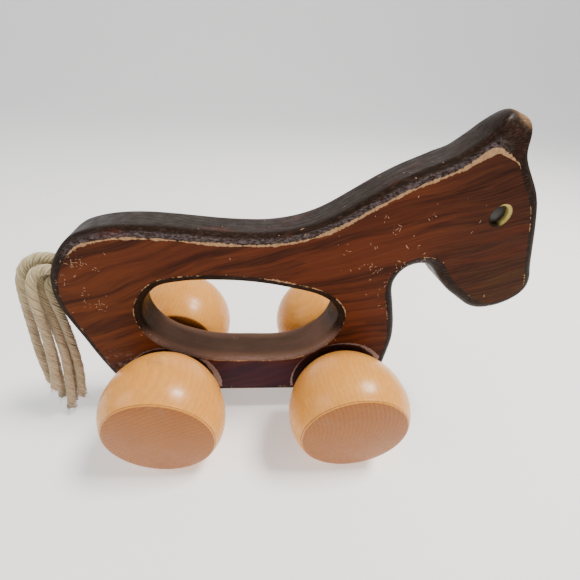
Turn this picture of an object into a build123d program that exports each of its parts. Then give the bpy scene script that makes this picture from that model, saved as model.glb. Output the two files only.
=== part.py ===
from build123d import *
import math
import os

# Push-along wooden horse on ball wheels, millimetres, +Z up, nose towards +X.
# Origin: on the floor, under the middle of the board from rump to nose.

# Board
board_thickness = 27.0
edge_round = 5.0  # rounded-over outer edge, both faces
grip_round = 4.2  # rounded-over rim of the hand hole
grip_centre = (-30.0, 75.0)  # middle of the hand hole
grip_reach = (60.0, 30.0)  # half of the area that holds the hand hole's rim
rump_x = -129.5
nose_x = 129.5
belly_z = 17.2
ear_tip = (82.5, 169.0)  # centre of the ear's round tip
ear_radius = 6.4
ear_angle = 73.5  # which way the ear points, degrees from +X towards +Z
ear_crown_start = 168.0  # where the ear starts to close, along that direction from the origin
ear_crown = (21.5, 14.0)  # half axes of its oval crown, along the ear and across the board
ear_slope_start = (68.0, 9.0, 162.1)  # the mane falls away to the left from here up to the ear
ear_slope_normal = (-0.521, 0.378, 0.765)
ear_slope_reach = 60.0
crest_slope = 36.0  # how the neck runs into the ear tip, degrees
brow_slope = -69.0  # how the ear tip runs into the face
breast_x = 63.8
foot_radius = 26.0
heel_x = -98.0

# Axles and wheels
axle_z = 35.0
rear_axle_x = -76.0
front_axle_x = 31.7
axle_diameter = 10.0
axle_clearance = 0.08  # radial, in the board
wheel_radius = 35.0
wheel_plane_y = 48.9  # largest section of each wheel, from the middle of the board
wheel_outer_depth = 17.3
wheel_inner_depth = 30.4
wheel_outer_face_radius = 29.7
wheel_inner_face_radius = 23.3
wheel_face_dome = 1.6
wheel_edge_round = 1.2
wheel_socket_depth = 30.0

# Eyes: dark plugs in shallow dished seats
eye_x = 90.5
eye_z = 135.5
eye_plug_diameter = 8.0
eye_plug_length = 8.0
eye_plug_recess = 2.6
eye_plug_round = 1.2
eye_seat_diameter = 10.2
eye_seat_depth = 2.6

# Tail: separate cords glued into one blind hole in the rump, each on its own route
tail_mouth = (-126.9, 0.0, 101.0)
tail_angle = 158.0  # direction of the hole, degrees from +X towards +Z
tail_hole_depth = 6.1
tail_hole_diameter = 16.1
tail_mouth_flare = 1.6
cord_diameter = 5.2
cord_routes = [
    [
        (-119.3, 0, 103.7),
        (-126.3, 0, 106.6),
        (-136.3, -1, 106.6),
        (-143.8, -2.5, 101.6),
        (-147.9, -4, 92.8),
        (-150.0, -5.5, 80.8),
        (-152.5, -7.5, 65.8),
        (-154.8, -9.5, 50.2),
        (-156.2, -11, 36.4),
        (-156.4, -12, 28.0),
    ],
    [
        (-120.7, -5.1, 100.3),
        (-127.3, -5.1, 102.9),
        (-134.8, -6.6, 102.4),
        (-139.4, -9, 96.3),
        (-140.8, -11, 87.5),
        (-141.2, -12.6, 77),
        (-142.4, -14.0, 65),
        (-144.9, -15.4, 52.5),
        (-148.2, -16.8, 38.5),
        (-151.4, -18.0, 27.5),
    ],
    [
        (-120.7, 5.1, 100.3),
        (-127.3, 5.1, 102.9),
        (-136.1, 5.1, 102.6),
        (-142.4, 4.6, 97.2),
        (-145.6, 3.2, 88.6),
        (-147.6, 1.2, 77),
        (-149.6, -1.0, 63.5),
        (-151.0, -3.4, 48.5),
        (-153.0, -5.4, 33.5),
        (-155.6, -7.0, 20),
        (-158.2, -7.8, 9),
    ],
    [
        (-121.3, 0, 98.8),
        (-127.6, 0, 101.3),
        (-134.8, -1.4, 100.3),
        (-138.5, -3.2, 93.6),
        (-138.8, -5.2, 84),
        (-138.4, -7.2, 74),
        (-138.6, -9.6, 61.5),
        (-139.8, -12, 47),
        (-143.0, -14, 32),
        (-146.8, -15.2, 18),
        (-150.4, -16.0, 6.5),
    ],
    [
        (-123.0, -3.1, 94.8),
        (-128.4, -3.1, 97.0),
        (-133.1, -4.6, 94.1),
        (-133.5, -5.6, 88.0),
        (-133.0, -6.6, 79),
        (-133.1, -7.8, 68),
        (-133.5, -9, 55.5),
        (-134.8, -10.2, 42),
        (-137.8, -11.2, 28),
        (-141.6, -11.8, 14.5),
    ],
    [
        (-123.0, 3.1, 94.8),
        (-128.6, 3.1, 97.0),
        (-135.0, 3.4, 96.0),
        (-138.9, 2.5, 90.2),
        (-140.0, 1.4, 81.5),
        (-140.3, -0.2, 71),
        (-140.4, -2.6, 58.5),
        (-141.4, -5.2, 44.5),
        (-144.0, -7.4, 30),
        (-147.4, -8.8, 17.5),
        (-151.0, -9.6, 7.5),
    ],
]

half_board = board_thickness / 2
bore_radius = axle_diameter / 2 + axle_clearance
near = 0.01  # two lengths closer than this are the same
overshoot = 1.0  # how far a cutting bar runs past the surface that it opens
arc_share = 0.45  # share of the shorter run that each bend of a cord takes up


def heading(angle):
    """A direction in the side view, degrees from +X towards +Z."""
    return (math.cos(math.radians(angle)), math.sin(math.radians(angle)))


def about(centre, radius, angle):
    """The point of a circle in the side view at an angle."""
    along, up = heading(angle)
    return (centre[0] + radius * along, centre[1] + radius * up)


def flow(knots):
    """Smooth runs through knots (x, z, heading); each run bends like an arc of its turn."""
    runs = []
    for (x0, z0, turn0), (x1, z1, turn1) in zip(knots, knots[1:]):
        bend = math.radians((turn1 - turn0 + 180) % 360 - 180)
        reach = math.hypot(x1 - x0, z1 - z0) / (3 * math.cos(bend / 4) ** 2)
        leave_point = about((x0, z0), reach, turn0)
        enter_point = about((x1, z1), -reach, turn1)
        runs.append(Bezier((x0, z0), leave_point, enter_point, (x1, z1)))
    return runs


def horse_outline():
    """Side view of the horse (X, Z), clockwise from the rump."""
    crest_end = about(ear_tip, ear_radius, 90 + crest_slope)
    ear_top = about(ear_tip, ear_radius, (crest_slope + brow_slope) / 2 + 90)
    brow = about(ear_tip, ear_radius, 90 + brow_slope)
    rump = (rump_x, 89, 90)
    back = [rump, (-120.3, 112.3, 49), (-105.8, 123.0, 18), (-78.5, 126.7, 0), (-46, 124.9, -4)]
    neck = [(-24, 124.2, 0), (-1, 127.1, 14), (14, 132.9, 28), (31, 143.0, 32)]
    mane = [(47, 151.7, 24), (57, 154.9, 24), (68, 160.8, 34), (*crest_end, crest_slope)]
    face = [(*brow, brow_slope), (90.8, 158.8, -56), (98.2, 151.0, -43), (106.0, 143.0, -52)]
    nose = [(111.8, 133.9, -60), (123.3, 112.3, -62), (nose_x, 99.0, -90)]
    chin = [(124.2, 89.6, -143), (108.1, 84.2, 180), (95.5, 89.0, 148), (83.0, 96.8, 142)]
    throat = [(76.0, 102.8, 132), (63.8, 110.6, 180), (54.4, 106.7, 232), (52.0, 100.5, 267)]
    chest = [(55.7, 88.0, 290), (61.0, 73.3, 287), (breast_x, 57.0, 270)]
    knee = (breast_x, belly_z + foot_radius)
    toe = (breast_x - foot_radius, belly_z)
    heel = (heel_x, belly_z)
    rear_leg = [(*heel, 180), (-117.0, 38.5, 110), (-123.0, 59.2, 103), rump]
    front_foot = TangentArc([knee, toe], tangent=heading(-90))
    foot_lines = [Line(chest[-1][:2], knee), front_foot, Line(toe, heel)]
    ear = [ThreePointArc(crest_end, ear_top, brow)]
    head = face + nose + chin + throat + chest
    return Wire(flow(back + neck + mane) + ear + flow(head) + foot_lines + flow(rear_leg))


def grip_outline():
    """The hand hole (X, Z), a long bean with a low front end, clockwise from the rear."""
    rear = (-86.4, 79.0, 90)
    top = [(-77.5, 94.6, 40), (-62.0, 99.3, 9), (-42.0, 100.2, 0), (-4.0, 96.1, -12)]
    front = [(17.7, 89.0, -34), (25.3, 78.0, -90), (20.1, 63.6, 232), (6.0, 53.3, 203)]
    bottom = [(-26.0, 50.0, 180), (-57.0, 52.5, 164), (-79.8, 64.0, 132)]
    return Wire(flow([rear] + top + front + bottom + [rear]))


tail_direction = (heading(tail_angle)[0], 0, heading(tail_angle)[1])


def through_board(wire):
    """The closed side-view wire as a solid of the board's thickness."""
    return extrude(Plane.XZ * Face(wire), amount=half_board, both=True)


def face_edges(solid):
    """The edges that lie in the two flat faces of the board."""
    return [
        edge
        for edge in solid.edges()
        if abs(abs(edge.center().Y) - half_board) < near
        and edge.bounding_box().size.Y < near
    ]


def rod(radius, start_y, end_y, x, z):
    """A round bar along Y."""
    plane = Plane(origin=(x, start_y, z), z_dir=(0, 1, 0))
    return extrude(plane * Circle(radius), amount=end_y - start_y)


def crown_limit():
    """A bar that holds the whole board and rounds its ear tip off across the thickness."""
    along, up = heading(ear_angle)
    across = Plane(origin=(0, 0, 0), x_dir=(along, 0, up), z_dir=(-up, 0, along))
    reach, half_width = ear_crown
    long = 2 * ear_crown_start
    shaft = Pos(ear_crown_start - long / 2, 0) * Rectangle(long, 2 * half_width)
    crown = Pos(ear_crown_start, 0) * Ellipse(reach, half_width)
    return extrude(across * (shaft + crown), amount=long, both=True)


def ear_slope():
    """The wedge that is worn off the left of the ear's mane side."""
    plane = Plane(origin=ear_slope_start, z_dir=ear_slope_normal)
    size = ear_slope_reach
    return plane * Box(size, size, size, align=(Align.CENTER, Align.CENTER, Align.MIN))


def make_body():
    board = through_board(horse_outline())
    board = fillet(face_edges(board), edge_round) & crown_limit() - ear_slope()
    grip = through_board(grip_outline())
    body = board - grip
    rim = [
        edge
        for edge in face_edges(body)
        if abs(edge.center().X - grip_centre[0]) < grip_reach[0]
        and abs(edge.center().Z - grip_centre[1]) < grip_reach[1]
    ]
    body = fillet(rim, grip_round)
    for x in (rear_axle_x, front_axle_x):
        body -= rod(bore_radius, -half_board - overshoot, half_board + overshoot, x, axle_z)
    body -= tail_hole()
    for side in (-1, 1):
        body -= eye_seat(side)
    return body


def tail_hole():
    """A blind round hole with a flared mouth, as the tool that cuts it."""
    radius = tail_hole_diameter / 2
    wide = radius + tail_mouth_flare + tail_hole_depth
    corners = [(0, -tail_hole_depth), (radius, -tail_hole_depth), (radius, -tail_mouth_flare)]
    corners += [(wide, tail_hole_depth), (0, tail_hole_depth)]
    profile = make_face(Polyline(corners, close=True))
    tool = revolve(Plane.XZ * profile, axis=Axis.Z)
    return Plane(origin=tail_mouth, z_dir=tail_direction) * tool


def eye_seat(side):
    """Dished seat and plug hole of one eye; side is -1 or 1 along Y."""
    out = Vector(0, side, 0)
    face_plane = Plane(origin=(eye_x, side * half_board, eye_z), z_dir=out)
    sphere_radius = ((eye_seat_diameter / 2) ** 2 + eye_seat_depth**2) / (2 * eye_seat_depth)
    dish = face_plane * Pos(0, 0, sphere_radius - eye_seat_depth) * Sphere(sphere_radius)
    hole = face_plane * Circle(eye_plug_diameter / 2)
    return dish + extrude(hole, amount=-(eye_plug_recess + eye_plug_length))


def make_eye(side):
    """A short dowel with a domed end, sunk a little below the face."""
    out = Vector(0, side, 0)
    inner = half_board - eye_plug_recess - eye_plug_length
    plane = Plane(origin=(eye_x, side * inner, eye_z), z_dir=out)
    plug = extrude(plane * Circle(eye_plug_diameter / 2), amount=eye_plug_length)
    outer_edge = plug.edges().sort_by(Axis.Y)[-1 if side > 0 else 0]
    return fillet(outer_edge, eye_plug_round)


def make_wheel(x, side):
    """A ball wheel cut flat at both ends, with a blind axle socket."""
    outer = wheel_outer_depth
    inner = -wheel_inner_depth
    rim = (0, wheel_radius)
    outer_edge = (outer, wheel_outer_face_radius)
    inner_edge = (inner, wheel_inner_face_radius)
    outer_arc = TangentArc([rim, outer_edge], tangent=(1, 0))
    inner_arc = TangentArc([rim, inner_edge], tangent=(-1, 0))
    face_tip = (outer + wheel_face_dome, 0)
    dome_radius = (wheel_outer_face_radius**2 + wheel_face_dome**2) / (2 * wheel_face_dome)
    dome = RadiusArc(outer_edge, face_tip, dome_radius)
    closing = [Line(face_tip, (inner, 0)), Line((inner, 0), inner_edge)]
    profile = make_face([inner_arc, outer_arc, dome] + closing)
    corners = [
        corner
        for corner in profile.vertices()
        if (abs(corner.X - inner) < near or abs(corner.X - outer) < near) and corner.Y > near
    ]
    profile = fillet(corners, wheel_edge_round)
    ball = revolve(profile, axis=Axis.X)
    socket = Plane(origin=(inner, 0, 0), z_dir=(1, 0, 0)) * Circle(axle_diameter / 2)
    ball -= extrude(socket, amount=wheel_socket_depth)
    turned = Plane(origin=(x, side * wheel_plane_y, axle_z), x_dir=(0, side, 0), z_dir=(0, 0, 1))
    return turned * ball


def make_axle(x):
    reach = wheel_plane_y - wheel_inner_depth + wheel_socket_depth
    return rod(axle_diameter / 2, -reach, reach, x, axle_z)


def make_cord(name, route):
    """One tail cord: straight runs joined by the largest arcs that the runs allow."""
    points = [Vector(*point) for point in route]
    runs = [end - start for start, end in zip(points, points[1:])]
    radii = []
    for run, following in zip(runs, runs[1:]):
        half_turn = math.radians(run.get_angle(following)) / 2
        radii.append(arc_share * min(run.length, following.length) / math.tan(half_turn))
    path = FilletPolyline(*points, radius=radii)
    start = Plane(origin=path @ 0, z_dir=path % 0)
    cord = sweep(start * Circle(cord_diameter / 2), path=path)
    expected = math.pi * (cord_diameter / 2) ** 2 * path.length
    print(name, "length", round(path.length, 1), "volume ratio", round(cord.volume / expected, 4))
    print("  radii", [round(radius, 1) for radius in radii])
    return cord


os.makedirs("parts", exist_ok=True)
export_step(make_body(), "parts/body.step")
for end, x in (("rear", rear_axle_x), ("front", front_axle_x)):
    export_step(make_axle(x), f"parts/{end}_axle.step")
    for hand, side in (("right", -1), ("left", 1)):
        export_step(make_wheel(x, side), f"parts/{end}_wheel_{hand}.step")
for hand, side in (("right", -1), ("left", 1)):
    export_step(make_eye(side), f"parts/eye_{hand}.step")
for number, route in enumerate(cord_routes, 1):
    name = f"tail_cord_{number}"
    export_step(make_cord(name, route), f"parts/{name}.step")
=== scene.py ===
import math

import bmesh
import bpy
import numpy as np
from mathutils import Matrix, Vector, geometry


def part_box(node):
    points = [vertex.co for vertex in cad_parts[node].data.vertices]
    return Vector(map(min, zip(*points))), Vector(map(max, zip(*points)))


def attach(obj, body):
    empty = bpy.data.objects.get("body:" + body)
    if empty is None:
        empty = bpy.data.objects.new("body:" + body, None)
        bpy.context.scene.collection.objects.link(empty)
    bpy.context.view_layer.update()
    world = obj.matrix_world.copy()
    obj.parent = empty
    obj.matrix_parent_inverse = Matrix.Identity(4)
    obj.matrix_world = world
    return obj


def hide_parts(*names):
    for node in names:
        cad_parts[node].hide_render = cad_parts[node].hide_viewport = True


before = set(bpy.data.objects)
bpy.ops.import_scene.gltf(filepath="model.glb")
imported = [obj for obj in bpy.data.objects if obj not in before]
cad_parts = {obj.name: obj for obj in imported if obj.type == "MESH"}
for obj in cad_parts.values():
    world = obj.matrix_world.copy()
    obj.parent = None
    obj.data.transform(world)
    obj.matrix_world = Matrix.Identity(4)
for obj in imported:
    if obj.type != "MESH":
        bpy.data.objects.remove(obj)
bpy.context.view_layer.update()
MM = 0.001
rng = np.random.default_rng(7)


def link(name, data):
    """A new object in the scene that holds the data."""
    made = bpy.data.objects.new(name, data)
    bpy.context.scene.collection.objects.link(made)
    return made


# ---- camera

CAMERA_PLACE = (-0.02908, -0.16443, 0.18168)
CAMERA_YAW = 0.09597
CAMERA_PITCH = 0.78736
CAMERA_ROLL = 0.05683
CAMERA_SENSOR = 36.0
CAMERA_LENS = 19.54
CAMERA_SHIFT = (0.03984, 0.15290)


def make_camera():
    yaw, pitch, roll = CAMERA_YAW, CAMERA_PITCH, CAMERA_ROLL
    forward = Vector(
        (math.sin(yaw) * math.cos(pitch), math.cos(yaw) * math.cos(pitch), -math.sin(pitch))
    )
    level = Vector((math.cos(yaw), -math.sin(yaw), 0))
    upright = level.cross(forward)
    right = level * math.cos(roll) + upright * math.sin(roll)
    up = upright * math.cos(roll) - level * math.sin(roll)
    data = bpy.data.cameras.new("camera")
    data.sensor_width = CAMERA_SENSOR
    data.lens = CAMERA_LENS
    data.shift_x, data.shift_y = CAMERA_SHIFT
    data.clip_start = 0.01
    camera = link("camera", data)
    turn = Matrix((right, up, -forward)).transposed()
    camera.matrix_world = Matrix.Translation(CAMERA_PLACE) @ turn.to_4x4()
    bpy.context.scene.camera = camera


# ---- shader graphs


def srgb(red, green, blue):
    """A colour given as 0 to 255 values, as the linear values that Blender takes."""
    shares = (value / 255 for value in (red, green, blue))
    linear = [s / 12.92 if s <= 0.04045 else ((s + 0.055) / 1.055) ** 2.4 for s in shares]
    return (*linear, 1.0)


class Graph:
    """One material and short names for the nodes that make it."""

    def __init__(self, name):
        self.material = bpy.data.materials.new(name)
        self.material.use_nodes = True
        self.tree = self.material.node_tree
        self.shader = self.tree.nodes["Principled BSDF"]
        coordinates = self.add("ShaderNodeTexCoord").outputs
        self.place, self.normal = coordinates["Object"], coordinates["Normal"]

    def add(self, kind, inputs=None, **settings):
        node = self.tree.nodes.new(kind)
        for name, value in settings.items():
            setattr(node, name, value)
        for name, value in (inputs or {}).items():
            self.feed(node.inputs[name], value)
        return node

    def feed(self, socket, value):
        if isinstance(value, bpy.types.NodeSocket):
            self.tree.links.new(value, socket)
        else:
            socket.default_value = value

    def set(self, **inputs):
        for name, value in inputs.items():
            self.feed(self.shader.inputs[name.replace("_", " ")], value)

    def math(self, operation, *values):
        inputs = dict(enumerate(values))
        return self.add("ShaderNodeMath", inputs, operation=operation).outputs[0]

    def times(self, first, second):
        return self.math("MULTIPLY", first, second)

    def plus(self, first, second):
        return self.math("ADD", first, second)

    def minus(self, first, second):
        return self.math("SUBTRACT", first, second)

    def vector(self, operation, *values):
        node = self.add("ShaderNodeVectorMath", dict(enumerate(values)), operation=operation)
        return node.outputs["Value" if operation in ("LENGTH", "DISTANCE") else "Vector"]

    def parts(self, vector):
        node = self.add("ShaderNodeSeparateXYZ", {0: vector})
        return node.outputs

    def join(self, x, y, z):
        return self.add("ShaderNodeCombineXYZ", {0: x, 1: y, 2: z}).outputs[0]

    def place_in_mm(self):
        scaled = self.vector("SCALE", self.place)
        self.feed(scaled.node.inputs["Scale"], 1 / MM)
        return scaled

    def attribute(self, name):
        return self.add("ShaderNodeAttribute", attribute_name=name).outputs["Fac"]

    def turned(self, vector, axis, angle):
        inputs = {"Vector": vector, "Angle": angle}
        return self.add("ShaderNodeVectorRotate", inputs, rotation_type=axis).outputs[0]

    def noise(self, vector, size, detail=4.0, rough=0.55, warp=0.0):
        """Noise from 0 to 1 whose lumps are about size across; size may differ by axis."""
        sizes = size if isinstance(size, tuple) else (size,) * 3
        scaled = self.vector("DIVIDE", vector, sizes)
        inputs = {"Vector": scaled, "Scale": 1.0, "Detail": detail}
        inputs |= {"Roughness": rough, "Distortion": warp}
        return self.add("ShaderNodeTexNoise", inputs).outputs["Fac"]

    def step(self, value, start, end, low=0.0, high=1.0):
        """Smooth change from low to high as value goes from start to end."""
        inputs = {"Value": value, "From Min": start, "From Max": end, "To Min": low, "To Max": high}
        node = self.add("ShaderNodeMapRange", inputs, interpolation_type="SMOOTHSTEP")
        return node.outputs[0]

    def mix(self, share, first, second):
        node = self.add("ShaderNodeMix", data_type="RGBA")
        self.feed(node.inputs[0], share)
        self.feed(node.inputs[6], first)
        self.feed(node.inputs[7], second)
        return node.outputs[2]

    def tint(self, color, share, amount, tone):
        """The colour with up to an amount of a 0 to 255 tone, as share goes from 0 to 1."""
        return self.mix(self.times(share, amount), color, srgb(*tone))

    def bump(self, height):
        """Bump from a height in mm."""
        inputs = {"Height": height, "Distance": MM, "Strength": 1.0}
        node = self.add("ShaderNodeBump", inputs)
        self.feed(self.shader.inputs["Normal"], node.outputs[0])

    def near(self, point, middle, radius):
        """1 near the middle, 0 beyond the radius."""
        return self.step(self.vector("DISTANCE", point, middle), radius, radius * 0.35)

    def scratches(self, plane, cell, length, width, share):
        """Short strokes at odd angles, one in a share of the cells; plane's X and Y in mm."""
        inputs = {"Vector": plane, "Scale": 1 / cell, "Randomness": 1.0}
        cells = self.add("ShaderNodeTexVoronoi", inputs, voronoi_dimensions="2D")
        chance = self.add("ShaderNodeSeparateColor", {0: cells.outputs["Color"]}).outputs
        away = self.vector("SUBTRACT", plane, cells.outputs["Position"])
        angle = self.times(chance[0], 2 * math.pi)
        turned = self.parts(self.turned(away, "Z_AXIS", angle))
        size = self.plus(self.times(chance[2], 0.8), 0.35)
        along = self.math("DIVIDE", turned[0], self.times(size, length))
        bend = self.times(self.times(along, along), width)
        across = self.math("DIVIDE", self.minus(turned[1], bend), width)
        ragged = self.times(self.noise(plane, width * 1.5, 3.0), 1.1)
        far = self.vector("LENGTH", self.join(along, across, 0.0))
        shape = self.step(self.plus(far, ragged), 1.5, 1.15)
        return self.times(shape, self.math("LESS_THAN", chance[1], share))


# ---- materials


RUB_RINGS = (  # outer and inner edge of each ring: middle (x, z) and radius in mm
    (((33.9, 27.9), 32.2), ((32.1, 30.2), 29.2)),
    (((-76.5, 25.7), 31.3), ((-78.0, 28.0), 28.2)),
)
GRAIN_SLOPE = math.radians(17)  # how the board's grain climbs towards the head
STAIN_REGIONS = (  # middle and radius in mm, amount and tone, laid on before the dark head
    ((-100.0, 0.0, 72.0), 48.0, 0.75, (102, 52, 24)),
    ((22.0, 0.0, 112.0), 58.0, 0.5, (84, 36, 19)),
    ((43.0, 0.0, 72.0), 34.0, 0.6, (98, 47, 26)),
)
STAIN_ENDS = (  # the same for the nose, rear foot and front foot, laid on after it
    ((118.0, 0.0, 92.0), 42.0, 0.7, (60, 41, 20)),
    ((-104.0, 0.0, 32.0), 32.0, 0.7, (44, 27, 22)),
    ((60.0, 0.0, 40.0), 32.0, 0.9, (42, 24, 20)),
)
EYE_SHADE_PLACE = (90.5, 135.5)  # x and z in mm where the shade in an eye seat ends


class BoardGraph(Graph):
    """The board's material with what its layers share: places in mm, attributes and grain."""

    def __init__(self):
        super().__init__("stained_board")
        self.mm = self.place_in_mm()
        self.x, self.y, self.z = self.parts(self.mm)[:3]
        self.rim = self.attribute("rim")
        self.grip = self.attribute("grip")
        slow = self.noise(self.mm, (150.0, 60.0, 60.0), 2.0)
        grain = self.turned(self.mm, "Y_AXIS", GRAIN_SLOPE)
        along, depth, across = self.parts(grain)[:3]
        across = self.plus(across, self.times(self.minus(slow, 0.5), 38.0))
        place = self.join(along, depth, across)
        from_pith = self.join(self.minus(across, 112.0), self.minus(depth, 46.0), 0.0)
        radius = self.vector("LENGTH", from_pith)
        wander = self.noise(place, (70.0, 9.0, 9.0), 3.0)
        rings = self.plus(self.math("DIVIDE", radius, 4.3), self.times(wander, 2.2))
        saw = self.math("FRACT", rings)
        self.late = self.times(self.step(saw, 0.25, 0.85), self.step(saw, 1.0, 0.9))
        self.streak = self.noise(place, (95.0, 12.0, 8.5), 4.0, 0.6, 0.4)
        self.broad = self.noise(place, (170.0, 30.0, 26.0), 2.0)
        self.fibre = self.noise(place, (16.0, 0.55, 0.55), 3.0, 0.6)


def stain(g):
    """The stain on the flat faces: warm and dark regions, streaks and rings, and a painted purple shade
    low on the belly.
    """
    x, z, streak = g.x, g.z, g.streak
    head = g.step(g.plus(x, g.times(g.broad, 70.0)), 82.0, 128.0)
    color = g.mix(streak, srgb(66, 30, 19), srgb(102, 52, 30))
    for middle, radius, amount, tone in STAIN_REGIONS:
        color = g.tint(color, g.near(g.mm, middle, radius), amount, tone)
    color = g.tint(color, head, 0.85, (44, 26, 19))
    for middle, radius, amount, tone in STAIN_ENDS:
        color = g.tint(color, g.near(g.mm, middle, radius), amount, tone)
    color = g.tint(color, g.step(streak, 0.52, 0.36), 0.8, (44, 22, 16))
    color = g.tint(color, g.times(g.step(streak, 0.52, 0.62), head), 0.75, (72, 32, 20))
    color = g.tint(color, g.late, 0.42, (38, 19, 14))
    color = g.mix(g.step(g.fibre, 0.35, 0.7, 0.0, 0.2), color, srgb(122, 68, 36))
    # Painted shade with a blue reflection: the low bar between the legs turns darker and purple towards
    # the bottom.
    painted_blue_shade = g.times(g.step(z, 52.0, 38.0), g.step(x, -112.0, -84.0))
    return g.tint(color, painted_blue_shade, 0.7, (52, 38, 54))


def rub_rings(g, color):
    """Rings that the balls have rubbed into both flat faces, dark inside: partly the unworn stain,
    partly painted shade where the ball sits close.
    """
    ragged = g.times(g.minus(g.noise(g.mm, 2.6, 4.0, 0.7), 0.5), 2.2)
    ring, shade = 0.0, 0.0
    for (outer, outer_radius), (inner, inner_radius) in RUB_RINGS:
        out_by = g.vector("DISTANCE", g.join(g.x, g.z, 0.0), (*outer, 0.0))
        in_by = g.vector("DISTANCE", g.join(g.x, g.z, 0.0), (*inner, 0.0))
        within = g.step(g.plus(out_by, ragged), outer_radius + 0.3, outer_radius - 0.3)
        beyond = g.step(g.plus(in_by, ragged), inner_radius - 0.3, inner_radius + 0.3)
        ring = g.math("MAXIMUM", ring, g.times(within, beyond))
        # Painted shade where the ball sits close to the board, darker inside each ring.
        shade = g.math("MAXIMUM", shade, g.step(in_by, inner_radius + 1.5, inner_radius - 2.0))
    color = g.tint(color, shade, 0.85, (34, 20, 17))
    rub = g.mix(g.noise(g.mm, 0.8, 4.0, 0.7), srgb(132, 104, 94), srgb(184, 160, 150))
    ring = g.times(ring, g.step(g.noise(g.mm, 3.2, 3.0, 0.6), 0.26, 0.4))
    ring = g.times(ring, g.step(g.rim, 0.2, 0.8))
    return g.mix(g.times(ring, 0.9), color, rub)


def rims_and_walls(g):
    """The rounded rims and the walls, which took more stain, with painted light on the hand hole's
    bottom wall and a painted highlight along its lip and along the back.
    """
    patch = g.noise(g.mm, (22.0, 8.0, 22.0), 3.0)
    wall = g.mix(patch, srgb(24, 17, 13), srgb(38, 26, 19))
    wall = g.tint(wall, g.step(patch, 0.56, 0.7), 0.55, (66, 27, 18))
    # Painted light: the hand hole's bottom wall faces up and is made lighter.
    lit_grip_bottom = g.times(g.grip, g.step(g.z, 74.0, 60.0))
    painted_lit_wall = g.mix(patch, srgb(108, 80, 66), srgb(160, 122, 100))
    wall = g.mix(g.times(lit_grip_bottom, 0.75), wall, painted_lit_wall)
    wall = g.mix(g.step(g.fibre, 0.45, 0.75, 0.0, 0.2), wall, srgb(120, 96, 84))
    # Painted highlight: a grey sheen on the rounded lip, along the hand hole's bottom and along the
    # back.
    lip = g.times(g.step(g.rim, -4.2, -2.6), g.step(g.rim, -0.4, -1.4))
    painted_highlight = g.times(lip, g.step(g.noise(g.mm, (2.2, 0.9, 0.8), 5.0, 0.75), 0.38, 0.68))
    back_highlight = g.times(g.step(g.z, 110.0, 118.0), g.step(g.x, 84.0, 72.0))
    highlight_share = g.plus(g.times(lit_grip_bottom, 0.5), g.times(back_highlight, 0.4))
    return g.mix(g.times(painted_highlight, highlight_share), wall, srgb(140, 126, 128))


def worn_line(g, chip):
    """Where the stain is worn off: along the line where the face meets the rim, and the ear's tip."""
    mm, x, grip = g.mm, g.x, g.grip
    reach = g.noise(mm, 11.0, 3.0, 0.6)
    outside = g.minus(1.0, grip)
    ear = g.times(g.near(mm, (80.0, -9.0, 170.0), 22.0), g.step(x, 92.0, 84.0))
    back = g.times(outside, g.times(g.step(g.z, 111.0, 118.0), g.step(x, 88.0, 80.0)))
    breadth = g.plus(g.times(back, 0.92), g.times(ear, 0.9))
    breadth = g.plus(breadth, g.times(grip, 0.42))
    breadth = g.plus(breadth, g.times(g.minus(reach, 0.5), 3.0))
    breadth = g.plus(breadth, g.times(g.minus(chip, 0.5), 1.5))
    from_line = g.math("ABSOLUTE", g.plus(g.rim, 0.3))
    worn = g.step(g.minus(breadth, from_line), 0.25, 0.55)
    tip = g.times(g.near(mm, (88.0, -4.0, 174.5), 11.0), g.step(chip, 0.25, 0.5))
    return g.math("MAXIMUM", worn, g.times(tip, 0.85))


def nicks(g):
    """Short nicks and scratches, crowded on the shoulder and the rump."""
    mm = g.mm
    plane_x = g.plus(g.x, g.times(g.y, 0.37))
    plane_z = g.plus(g.z, g.times(g.y, 0.9))
    plane = g.join(plane_x, plane_z, 0.0)
    crowd = g.noise(mm, 26.0, 2.0)
    shoulder = g.near(mm, (50.0, -13.0, 120.0), 40.0)
    rump = g.near(mm, (-112.0, -13.0, 100.0), 24.0)
    busy = g.plus(g.times(shoulder, 0.5), g.times(rump, 0.6))
    share = g.plus(g.times(g.step(crowd, 0.45, 0.7), 0.14), g.times(busy, 0.14))
    cluster = g.times(busy, g.step(g.noise(mm, 8.0, 2.0), 0.56, 0.62))
    long_ones = g.scratches(plane, 9.0, 2.2, 0.26, g.times(share, 0.6))
    short_ones = g.scratches(plane, 4.2, 0.75, 0.26, g.times(share, 0.6))
    fine_ones = g.scratches(plane, 1.7, 1.3, 0.17, g.times(cluster, 1.5))
    return g.math("MAXIMUM", g.math("MAXIMUM", long_ones, short_ones), fine_ones)


def bare_seat(g):
    """Bare wood in the eye seats, with the side towards the rump in shade."""
    seat = g.mix(g.noise(g.mm, 1.1, 3.0), srgb(140, 118, 52), srgb(206, 192, 118))
    from_x, from_z = EYE_SHADE_PLACE
    lit = g.plus(g.minus(g.x, from_x), g.times(g.minus(g.z, from_z), 0.5))
    return g.mix(g.step(lit, -1.0, 2.0), srgb(44, 36, 22), seat)


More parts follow.
